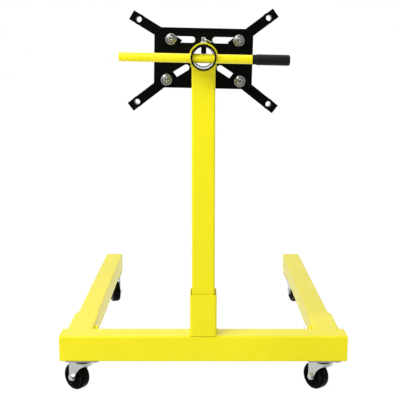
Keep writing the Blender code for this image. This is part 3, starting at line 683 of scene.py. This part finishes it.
def bolt_mesh(radius, tip, under_head, top, flats):
    """A bolt along Z: a centred and chamfered tip, and a hexagon head with chamfered corners."""
    chamfer = radius * 0.18
    pit, pit_floor, pit_depth = radius * 0.34, radius * 0.10, radius * 0.16
    rim = flats / 2 * CHAMFER_RIM
    rings = rounds((pit_floor, tip + pit_depth), (pit, tip), (radius - chamfer, tip),
                   (radius, tip + chamfer), (radius, under_head), (rim, under_head))
    rings += [hexagon(flats, under_head), hexagon(flats, top, CHAMFER)]
    return skin(rings + rounds((rim, top)))


def thread_mesh(tree, radius, start, end, pitch, slot):
    """A thread on a shank between two heights."""
    values = {"Radius": radius - pitch * THREAD_SINK, "Ridge": pitch * THREAD_RIDGE,
              "Length": end - start, "Turns": (end - start) / pitch}
    mesh = grow(tree, bpy.data.meshes.new("nothing"), slot, values)
    return placed(mesh, Matrix.Translation((0.0, 0.0, start)))


def fit_nut(node, place, radius):
    """Show a packed nut for a bolt of a given radius."""
    low, high = extent(node, place)
    show_node(node, nut_mesh(radius + PLAY, flats_of(high), low.z, high.z), place)


def fit_bolt(node, place, radius, under_head, tree, thread, pitch):
    """Show a packed bolt with a thread between two heights."""
    low, high = extent(node, place)
    bolt = bolt_mesh(radius, low.z, under_head, high.z, flats_of(high))
    ridge = thread_mesh(tree, radius, *thread, pitch, SLOTS[node])
    show_node(node, joined([bolt, ridge]), place)


def washer_mesh(outside, bore, start, end):
    """A stamped washer with rolled edges."""
    ease = (end - start) * 0.3
    profile = [(bore, start), (outside - ease, start), (outside, start + ease), (outside, end - ease)]
    return turned(profile + [(outside - ease, end), (bore, end)], hollow=True)


def rib_mesh(length, start, end):
    """A tapered rib along X that stands on a wheel's web."""
    lap, foot, crest = 0.0006, 0.0016, 0.0010
    reach = length / 2 + lap
    corners = ((1, 1), (-1, 1), (-1, -1), (1, -1))
    halves = ((start, foot), (end, crest))
    return skin([[Vector((x * reach, y * half, z)) for x, y in corners] for z, half in halves])


# Operators

class STAND_OT_frame(bpy.types.Operator):
    """Coat the crossbeam, post, legs, sockets and sleeve, and fit the end caps"""

    bl_idname = "engine_stand.frame"
    bl_label = "Coat the frame"

    def execute(self, context):
        edge = context.scene.engine_stand.details.edge
        for node in ("crossbeam", "leg_socket_left", "leg_socket_right"):
            refine(node, edge)
        refine("post_socket", edge, wall=0.0025)
        for node in ("post", "leg_left", "leg_right"):
            refine(node, 0.0)
        for node in ("beam_cap_left", "beam_cap_right", "leg_cap_left", "leg_cap_right"):
            refine(node, 2 * edge)
        self.sleeve(edge)
        return {"FINISHED"}

    def sleeve(self, edge):
        """The round sleeve on the post, drilled for the lock pin."""
        inside, outside = reaches("head_sleeve", HEAD_FRAME)
        low, high = extent("head_sleeve", HEAD_FRAME)
        pin_low, pin_high = extent("lock_pin", PIN_FRAME)
        travel = 0.004
        drill = placed(rod(pin_high.x + PIN_PLAY, pin_low.z - travel, pin_high.z), PIN_FRAME)
        tube = placed(pipe(inside, outside, low.z, high.z, edge), HEAD_FRAME)
        show_even("head_sleeve", machined(tube, [drill]))


class STAND_OT_welds(bpy.types.Operator):
    """Lay the weld beads of the frame and the head"""

    bl_idname = "engine_stand.welds"
    bl_label = "Lay the welds"

    def execute(self, context):
        details = context.scene.engine_stand.details
        tree = weld_tree()
        values = {"Ripple Pitch": details.bead_pitch, "Seed": details.bead_seed}

        def beads(paths, slot, share):
            """A bead along each path, as wide as a share of the set width."""
            width = share * details.bead_width
            return [grow(tree, path, slot, {**values, "Bead Width": width}) for path in paths]

        welds = beads([*self.socket_seams(), self.saddle_seam()], "yellow_paint", 1.0)
        welds += beads(self.nut_seams(), "yellow_paint", 0.7)
        welds += self.ground_welds()
        show("frame_welds", joined(welds), "frame", "yellow_paint")
        for arm in ARMS:
            welds = beads(self.spacer_seams(arm), "black_paint", 0.7)
            show("arm_weld_" + arm, joined(welds), "arm_" + arm, "black_paint")
        weld = beads([self.plate_seam()], "black_paint", 0.5)[0]
        show("plate_weld", weld, "head", "black_paint")
        return {"FINISHED"}

    def socket_seams(self):
        """Both sides of the post socket's foot, and of each leg socket on the crossbeam."""
        low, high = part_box("post_socket")
        for x in (low[0], high[0]):
            yield line([(x, low[1] + TUBE_CORNER, low[2]), (x, high[1] - TUBE_CORNER, low[2])])
        clear = 0.007
        for side in SIDES:
            low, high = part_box("leg_socket_" + side)
            for x in (low[0], high[0]):
                yield line([(x, low[1], low[2] + clear), (x, low[1], high[2] - clear)])

    def saddle_seam(self):
        """Where the post's coped top meets the sleeve."""
        low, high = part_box("post")
        radius = reaches("head_sleeve", HEAD_FRAME)[1]
        corner = 0.005
        reach = (high[0] - low[0]) / 2 - corner
        middle = (low[1] + high[1]) / 2
        outline = []
        for turn, (side_x, side_y) in enumerate(((1, 1), (-1, 1), (-1, -1), (1, -1))):
            centre = (side_x * reach, side_y * reach)
            outline += arc(centre, corner, 90 * turn, 90 * turn + 90, 3)
        steps = 6
        points = []
        for start, end in zip(outline, outline[1:] + outline[:1]):
            for step in range(steps):
                x = start[0] + (end[0] - start[0]) * step / steps
                y = middle + start[1] + (end[1] - start[1]) * step / steps
                rise = (y - HEAD_ORIGIN.y) * HEAD_AXIS.z / HEAD_AXIS.y
                points.append((x, y, HEAD_ORIGIN.z + rise - math.sqrt(radius ** 2 - x ** 2)))
        return line(points, closed=True)

    def nut_seams(self):
        """Round the foot of each leg socket's nut."""
        for side, inward in (("left", 1.0), ("right", -1.0)):
            low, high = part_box("leg_lock_" + side + "_nut")
            wall = low[0] if inward > 0 else high[0]
            centre = (wall, (low[1] + high[1]) / 2, (low[2] + high[2]) / 2)
            yield ring(axis_frame(centre, (inward, 0, 0), (0, 0, 1)), (high[2] - low[2]) / 2)

    def ground_welds(self):
        """Welds ground flush between the top of the crossbeam and each leg socket."""
        lap, sink = 0.0006, 0.00005
        for side in SIDES:
            low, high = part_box("leg_socket_" + side)
            top = min(high[2], BEAM_HIGH[2]) - sink
            near = (low[0] + TUBE_CORNER, BEAM_HIGH[1] - TUBE_CORNER, top - TUBE_CORNER)
            yield block(near, (high[0] - TUBE_CORNER, low[1] + lap, top))

    def spacer_seams(self, arm):
        """Before and behind the spacer at an arm's tip, where the arm is wide enough for a bead."""
        place, face, reach, radius = arm_place(arm)
        for start in (-40, 140):
            bow = arc((reach, 0.0), radius, start, start + 80, 16)
            yield line([place @ Vector((x, y, face)) for x, y in bow])

    def plate_seam(self):
        """Where the tube passes through the plate, on the sleeve's side."""
        face = extent("mounting_plate", HEAD_FRAME)[0].z
        radius = reaches("head_tube", HEAD_FRAME)[1]
        return ring(HEAD_FRAME @ Matrix.Translation((0.0, 0.0, face)), radius)


class STAND_OT_set_bolts(bpy.types.Operator):
    """Fit the set bolts and their welded nuts on the sockets"""

    bl_idname = "engine_stand.set_bolts"
    bl_label = "Fit the set bolts"

    def execute(self, context):
        pitch = context.scene.engine_stand.details.thread_pitch * FINE_PITCH
        radius, stand_off = 0.005, 0.003
        tree = thread_tree()
        inward = {"leg_lock_left": (1, 0, 0), "leg_lock_right": (-1, 0, 0), "post_lock": (0, 1, 0)}
        for name, axis in inward.items():
            place = axis_frame(middle_of(name + "_bolt"), axis, (0, 0, 1))
            nut = extent(name + "_nut", place)[1].z
            head = nut + stand_off
            fit_bolt(name + "_bolt", place, radius, head, tree, (nut - pitch, head), pitch)
            fit_nut(name + "_nut", place, radius)
        return {"FINISHED"}


class STAND_OT_head(bpy.types.Operator):
    """Paint the turning tube, the slotted plate and the handle's set screw"""

    bl_idname = "engine_stand.head"
    bl_label = "Paint the head"

    def execute(self, context):
        details = context.scene.engine_stand.details
        refine("mounting_plate", details.edge)
        place = axis_frame(middle_of("handle_set_screw"), HANDLE_AXIS.cross(HEAD_AXIS), HANDLE_AXIS)
        low, high = extent("handle_set_screw", place)
        growth = 1.2
        radius = high.x * growth
        pitch = details.thread_pitch * FINE_PITCH
        self.tube(details, placed(rod(radius + pitch / 4, low.z, high.z + radius), place))
        ease = radius * 0.06
        key = radius * 1.1
        rings = rounds((radius - ease, low.z), (radius, low.z + ease),
                       (radius, high.z - ease), (radius - ease, high.z))
        rings += [hexagon(key, high.z), hexagon(key, high.z - radius)]
        thread = thread_mesh(thread_tree(), radius, low.z + pitch / 2, high.z - pitch, pitch, "black_paint")
        show_node("handle_set_screw", joined([skin(rings), thread]), place)
        return {"FINISHED"}

    def tube(self, details, screw_hole):
        """The turning tube and its bare bore: holes for the handle, its set screw and the lock pin."""
        inside, outside = reaches("head_tube", HEAD_FRAME)
        low, high = extent("head_tube", HEAD_FRAME)
        across = axis_frame(HEAD_ORIGIN, HANDLE_AXIS, HEAD_AXIS)
        bar_low, bar_high = extent("handle_bar", across)
        hole = max(bar_high.y, -bar_low.y) + PLAY
        middle = Matrix.Translation(((bar_low.x + bar_high.x) / 2, 0.0, 0.0))
        bar_hole = placed(rod(hole, -2 * outside, 2 * outside), across @ middle)
        pin_stop = (HEAD_FRAME.inverted() @ PIN_FRAME.translation).z
        drill = rod(details.index_hole / 2, -outside / 2, outside / 2)
        drill = placed(drill, Matrix.Rotation(math.pi / 2, 4, "Y"))
        values = {"Count": details.index_count, "Radius": outside}
        index_holes = grow(ring_tree(), drill, "black_paint", values)
        index_holes = placed(index_holes, HEAD_FRAME @ Matrix.Translation((0.0, 0.0, pin_stop)))
        drills = [bar_hole, screw_hole, index_holes]
        tube = placed(pipe(inside, outside, low.z, high.z, details.edge, details.tube_lip), HEAD_FRAME)
        show_even("head_tube", machined(tube, drills))
        film, painted = 0.0001, 0.002
        bare = pipe(inside - film, inside + film, low.z + painted, high.z - LIP_DEPTH, film / 2)
        bore = placed(bare, HEAD_FRAME)
        show("tube_bore", machined(bore, drills), "head", "zinc_plate")


class STAND_OT_handle(bpy.types.Operator):
    """Paint the cross handle and push its grip on"""

    bl_idname = "engine_stand.handle"
    bl_label = "Finish the handle"

    def execute(self, context):
        place = axis_frame(middle_of("handle_bar"), HANDLE_AXIS, (0, 0, 1))
        low, high = extent("handle_bar", place)
        radius = high.x
        ease = 0.0014
        profile = [(radius - ease, low.z)] + arc((radius - ease, low.z + ease), ease, -90, 0, 4)[1:]
        profile += arc((radius - ease, high.z - ease), ease, 0, 90, 4)
        show_node("handle_bar", turned(profile), place)

        low, high = extent("handle_grip", place)
        outside = high.x
        bore = radius + PLAY
        neck = outside - 0.0011
        shoulder = low.z + 0.0085
        bar_end = high.z - 0.0035
        rim = 0.0004
        dome = 0.004
        profile = [(bore, bar_end), (bore, low.z), (neck - rim, low.z), (neck, low.z + rim)]
        profile += [(neck, shoulder - 3 * rim), (neck + rim / 4, shoulder - 2 * rim)]
        profile += [(outside - rim, shoulder + rim), (outside, shoulder + 0.0009)]
        profile += arc((outside - dome, high.z - dome), dome, 0, 90, 6)
        show_node("handle_grip", turned(profile), place)
        return {"FINISHED"}


class STAND_OT_lock_pin(bpy.types.Operator):
    """Plate the lock pin, its guide and its pull ring"""

    bl_idname = "engine_stand.lock_pin"
    bl_label = "Plate the lock pin"

    def execute(self, context):
        joint = JOINTS["pull_ring_swing"]
        pivot, swing = Vector(joint["pos_m"]), Vector(joint["axis"])
        low, high = extent("lock_pin", PIN_FRAME)
        radius = high.x
        ease = 0.001
        profile = [(radius - ease, low.z), (radius, low.z + ease)]
        profile += arc((radius - ease, high.z - ease), ease, 0, 90, 5)
        hole = 0.0021
        eye = placed(rod(hole, -radius * 2, radius * 2, 32), axis_frame(pivot, swing, (0, 0, 1)))
        show_even("lock_pin", machined(placed(turned(profile), PIN_FRAME), [eye]))
        self.guide(radius + PIN_PLAY)
        self.pull_ring(context.scene.engine_stand.details, pivot, swing, radius)
        return {"FINISHED"}

    def guide(self, bore):
        """The bush on the sleeve, coned towards its top."""
        low, high = extent("lock_pin_guide", PIN_FRAME)
        foot = high.x
        cone, taper = 0.0025, 0.0021
        rim, ease = 0.0006, 0.0003
        profile = [(bore, low.z), (foot, low.z), (foot, high.z - cone)]
        profile += arc((foot - taper, high.z - rim), rim, 30, 90, 4)
        profile += [(bore + ease, high.z), (bore, high.z - ease)]
        show_even("lock_pin_guide", turned(profile, hollow=True), PIN_FRAME)

    def pull_ring(self, details, pivot, swing, pin_radius):
        """A wire ring through the pin's eye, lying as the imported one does."""
        middle = middle_of("pull_ring")
        lie = (middle - pivot).normalized()
        place = axis_frame(middle, swing.cross(lie), lie)
        low, high = extent("pull_ring", place)
        loop = details.ring_growth * (high.y - low.y - high.z + low.z) / 2
        sag = loop - math.sqrt(loop ** 2 - pin_radius ** 2)
        place.translation = pivot + lie * (loop - sag / 2)
        section = [(loop + x, z) for x, z in arc((0.0, 0.0), details.ring_wire / 2, 0, 330, 11)]
        show_node("pull_ring", turned(section, 48, hollow=True), place)


class STAND_OT_arms(bpy.types.Operator):
    """Paint the mounting arms and fit their bolts, washers and nuts"""

    bl_idname = "engine_stand.arms"
    bl_label = "Fit the arms"

    def execute(self, context):
        details = context.scene.engine_stand.details
        tree = thread_tree()
        radius, head, bare_tip = 0.006, 0.0075, 0.0008
        for arm in ARMS:
            self.bar(arm, details.edge)
            place = axis_frame(JOINTS["swing_" + arm]["pos_m"], HEAD_AXIS, HANDLE_AXIS)
            low, high = extent("arm_washer_" + arm, place)
            washer = washer_mesh(high.x, radius + PLAY, low.z, high.z)
            show_node("arm_washer_" + arm, washer, place)
            fit_nut("arm_nut_" + arm, place, radius)
            low, high = extent("arm_bolt_" + arm, place)
            thread = (low.z + bare_tip, extent("arm_nut_" + arm, place)[0].z + NUT_SINK)
            fit_bolt("arm_bolt_" + arm, place, radius, high.z - head, tree, thread, details.thread_pitch)
        return {"FINISHED"}

    def bar(self, arm, edge):
        """A flat bar drilled at both ends, with a round spacer welded on at its tip."""
        node = "arm_" + arm
        place, face, reach, spacer = arm_place(arm)
        low, high = extent(node, place)
        half = max(corner.y for corner in corners_in(node, place) if corner.z < low.z + MERGE)
        flat = block((low.x, -half, low.z), (high.x, half, face))
        tip = Matrix.Translation((reach, 0.0, 0.0))
        hole = 0.0065
        drills = [rod(hole, -1.0, 1.0), placed(rod(hole, -1.0, 1.0), tip)]
        tube = placed(pipe(hole, spacer, face - edge, high.z, 2 * edge), tip)
        show_even(node, joined([machined(flat, drills, edge), tube]), place)


class STAND_OT_casters(bpy.types.Operator):
    """Fit the caster plates, forks, axles and wheels"""

    bl_idname = "engine_stand.casters"
    bl_label = "Fit the casters"

    def execute(self, context):
        details = context.scene.engine_stand.details
        at_corners, set_round = corner_tree(), ring_tree()
        for caster in CASTERS:
            refine("caster_plate_" + caster, 0.5 * details.edge)
            refine("fork_" + caster, 0.8 * details.edge)
            self.plate_bolts(caster, at_corners, details.plate_bolt_flats)
            self.balls(caster, set_round, details.ball_count)
            joint = JOINTS["roll_" + caster]
            place = axis_frame(joint["pos_m"], joint["axis"], (0, 0, 1))
            self.axle(caster, place)
            self.wheel(caster, place, set_round, details.rib_count)
        return {"FINISHED"}

    def plate_bolts(self, caster, tree, flats):
        """Low hexagon heads under the corners of a caster plate."""
        low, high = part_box("caster_plate_" + caster)
        inset, thick = 0.010, 0.0025
        shank, top, radius = 0.001, 0.0038, flats * 0.3
        head = placed(bolt_mesh(radius, 0.0, shank, top, flats), Matrix.Rotation(math.pi, 4, "X"))
        values = {"Width": high[0] - low[0] - 2 * inset, "Depth": high[1] - low[1] - 2 * inset}
        middle = ((low[0] + high[0]) / 2, (low[1] + high[1]) / 2, high[2] - thick + shank)
        heads = placed(grow(tree, head, "zinc_plate", values), Matrix.Translation(middle))
        show("caster_bolts_" + caster, heads, "frame", "zinc_plate")

    def balls(self, caster, tree, count):
        """The ring of balls in the gap between the plate and the fork."""
        gap, race = 0.0022, 0.0135
        radius = gap * 0.43
        ball = turned(arc((0.0, 0.0), radius, -80, 80, 6), 10)
        x, y, _ = JOINTS["swivel_" + caster]["pos_m"]
        middle = (x, y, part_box("caster_plate_" + caster)[0][2] - gap / 2)
        balls = grow(tree, ball, "zinc_plate", {"Count": count, "Radius": race})
        balls = placed(balls, Matrix.Translation(middle))
        show("caster_balls_" + caster, balls, "swivel_" + caster, "zinc_plate")

    def axle(self, caster, place):
        """The axle bolt: a head on one side of the fork and a nut on the other."""
        low, high = extent("axle_" + caster, place)
        flats = flats_of(high)
        radius, head = 0.004, 0.0045
        rim = flats / 2 * CHAMFER_RIM
        rings = rounds((radius * 0.8, low.z), (rim, low.z))
        rings += [turned_over(hexagon(flats, low.z, CHAMFER), low.z), hexagon(flats, low.z + head)]
        rings += rounds((radius, low.z + head), (radius, high.z - head))
        rings += [hexagon(flats, high.z - head), hexagon(flats, high.z, CHAMFER)]
        show_node("axle_" + caster, skin(rings + rounds((rim, high.z))), place)

    def wheel(self, caster, place, tree, rib_count):
        """A moulded wheel: crowned tread, stepped rim, ribbed web and hub."""
        high = extent("wheel_" + caster, place)[1]
        hub_side, radius = high.z, high.x
        half = hub_side - 0.0012
        web = half - 0.0035
        bore, hub, rim = 0.0045, 0.010, 0.0215
        shoulder = 0.0052
        # from the tread's middle over its shoulder, down the rim to the web, and up the hub to its bore
        upper = [(radius, 0.0), (radius - 0.0001, half * 0.35)]
        upper += arc((radius - 0.0003 - shoulder, half - shoulder), shoulder, 6, 84, 7)
        upper += [(rim + 0.0016, half), (rim + 0.0010, half - 0.0004), (rim, web + 0.0006)]
        upper += [(rim - 0.0008, web), (hub + 0.0010, web), (hub, web + 0.0008), (hub, hub_side - 0.0005)]
        upper += [(hub - 0.0005, hub_side), (bore + 0.0004, hub_side), (bore, hub_side - 0.0004)]
        lower = [(reach, -height) for reach, height in reversed(upper[1:])]
        body = turned(lower + upper, hollow=True)
        rib = rib_mesh(rim - hub, web - 0.0005, half - 0.0014)
        near = grow(tree, rib, "wheel_plastic", {"Count": rib_count, "Radius": (rim + hub) / 2})
        far = placed(near.copy(), Matrix.Rotation(math.pi, 4, "X"))
        show_node("wheel_" + caster, joined([body, near, far]), place)


class STAND_OT_stage(bpy.types.Operator):
    """Set up the floor, the light and the camera"""

    bl_idname = "engine_stand.stage"
    bl_label = "Set up the studio"

    def execute(self, context):
        scene = context.scene
        studio = scene.engine_stand.studio
        scene.view_settings.view_transform = "Standard"
        self.floor()
        self.room(scene, studio.sky)
        self.lamp("key_light", (-1.2, -1.65, 2.1), 1.6, studio.key)
        self.lamp("fill_light", (2.3, -1.9, 1.7), 2.0, studio.fill)
        self.lamp("top_light", (-0.3, 0.3, 3.2), 2.6, studio.top)
        camera = bpy.data.cameras.new("photo_camera")
        configure(camera, sensor_width=36.0, lens=studio.lens, clip_end=60.0)
        scene.camera = add_object("photo_camera", camera)
        turn = (math.pi / 2 - studio.camera_dip, 0.0, studio.camera_swing)
        configure(scene.camera, location=studio.camera_place, rotation_euler=turn)
        return {"FINISHED"}

    def seen_directly(self, tree, path):
        """1 where the eye, a mirror or a glass looks straight at the surface."""
        total = path.outputs["Is Camera Ray"]
        for ray in ("Is Glossy Ray", "Is Transmission Ray"):
            total = wire(tree, "ShaderNodeMath", {0: total, 1: path.outputs[ray]}, operation="MAXIMUM")
        return total

    def white_level(self, tree, path, place, dark_end, white_end):
        """White to the eye, and to a mirror dim on the side of the room that the handle faces."""
        dim = 0.13
        y = add_node(tree, "ShaderNodeSeparateXYZ", {"Vector": place}).outputs["Y"]
        fade = wire(tree, "ShaderNodeMapRange", {
            "Value": y, "From Min": dark_end, "From Max": white_end, "To Min": dim, "To Max": 1.0},
            interpolation_type="SMOOTHSTEP")
        inputs = {"Factor": path.outputs["Is Glossy Ray"], "A": 1.0, "B": fade}
        return wire(tree, "ShaderNodeMix", inputs, data_type="FLOAT")

    def floor(self):
        """A white floor that still takes a soft shadow."""
        side = 30.0
        mesh = bpy.data.meshes.new("floor")
        corners = [(-side, -side, 0.0), (side, -side, 0.0), (side, side, 0.0), (-side, side, 0.0)]
        mesh.from_pydata(corners, [], [(0, 1, 2, 3)])
        floor = add_object("floor", mesh)
        material, tree, place = start_material("white_floor")
        shader = tree.nodes["Principled BSDF"]
        feed(tree, shader, {
            "Base Color": (0.9, 0.9, 0.9, 1.0), "Roughness": 0.9, "Specular IOR Level": 0.0})
        path = add_node(tree, "ShaderNodeLightPath")
        level = self.white_level(tree, path, place, dark_end=-1.1, white_end=-0.1)
        white, most = 1.03, 0.95
        glow = wire(tree, "ShaderNodeEmission", {"Color": (white, white, white, 1.0), "Strength": level})
        seen = self.seen_directly(tree, path)
        share = wire(tree, "ShaderNodeMath", {0: seen, 1: most}, operation="MULTIPLY")
        mix = wire(tree, "ShaderNodeMixShader", {"Fac": share, 1: shader.outputs["BSDF"], 2: glow})
        feed(tree, tree.nodes["Material Output"], {"Surface": mix})
        mesh.materials.append(material)

    def room(self, scene, strength):
        """Even white light, seen as plain white."""
        world = bpy.data.worlds.new("white_room")
        scene.world = world
        world.use_nodes = True
        tree = world.node_tree
        path = add_node(tree, "ShaderNodeLightPath")
        direction = add_node(tree, "ShaderNodeTexCoord").outputs["Object"]
        white = self.white_level(tree, path, direction, dark_end=-0.75, white_end=-0.10)
        level = wire(tree, "ShaderNodeMix", {
            "Factor": self.seen_directly(tree, path), "A": strength, "B": white}, data_type="FLOAT")
        feed(tree, tree.nodes["Background"], {"Color": (1.0, 1.0, 1.0, 1.0), "Strength": level})

    def lamp(self, name, place, size, power):
        """A large soft lamp that faces the stand."""
        light = configure(bpy.data.lights.new(name, "AREA"), shape="DISK", size=size, energy=power)
        middle = Vector((0.0, 0.0, 0.42))
        turn = (middle - Vector(place)).to_track_quat("-Z", "Y").to_euler()
        configure(add_object(name, light), location=place, rotation_euler=turn)


class STAND_PT_panel(bpy.types.Panel):
    """The stand's steps and settings"""

    bl_idname = "STAND_PT_panel"
    bl_label = "Engine stand"
    bl_space_type = "VIEW_3D"
    bl_region_type = "UI"
    bl_category = "Engine stand"

    def draw(self, context):
        settings = context.scene.engine_stand
        for group in (settings.finishes, settings.details, settings.studio):
            column = self.layout.column(align=True)
            for name in group.bl_rna.properties.keys():
                if name not in ("rna_type", "name"):
                    column.prop(group, name)
        for step in STEPS:
            self.layout.operator(step.bl_idname)


STEPS = (STAND_OT_frame, STAND_OT_welds, STAND_OT_set_bolts, STAND_OT_head, STAND_OT_handle,
         STAND_OT_lock_pin, STAND_OT_arms, STAND_OT_casters, STAND_OT_stage)
CLASSES = (StandFinishes, StandDetails, StandStudio, StandSettings, *STEPS, STAND_PT_panel)


def register():
    for item in CLASSES:
        bpy.utils.register_class(item)
    bpy.types.Scene.engine_stand = PointerProperty(type=StandSettings)


def unregister():
    del bpy.types.Scene.engine_stand
    for item in reversed(CLASSES):
        bpy.utils.unregister_class(item)


def main():
    for thing in list(bpy.data.objects):
        if thing.type in {"CAMERA", "LIGHT"}:
            bpy.data.objects.remove(thing)
    register()
    bpy.ops.engine_stand.frame()
    bpy.ops.engine_stand.welds()
    bpy.ops.engine_stand.set_bolts()
    bpy.ops.engine_stand.head()
    bpy.ops.engine_stand.handle()
    bpy.ops.engine_stand.lock_pin()
    bpy.ops.engine_stand.arms()
    bpy.ops.engine_stand.casters()
    bpy.ops.engine_stand.stage()


if __name__ == "__main__":
    main()
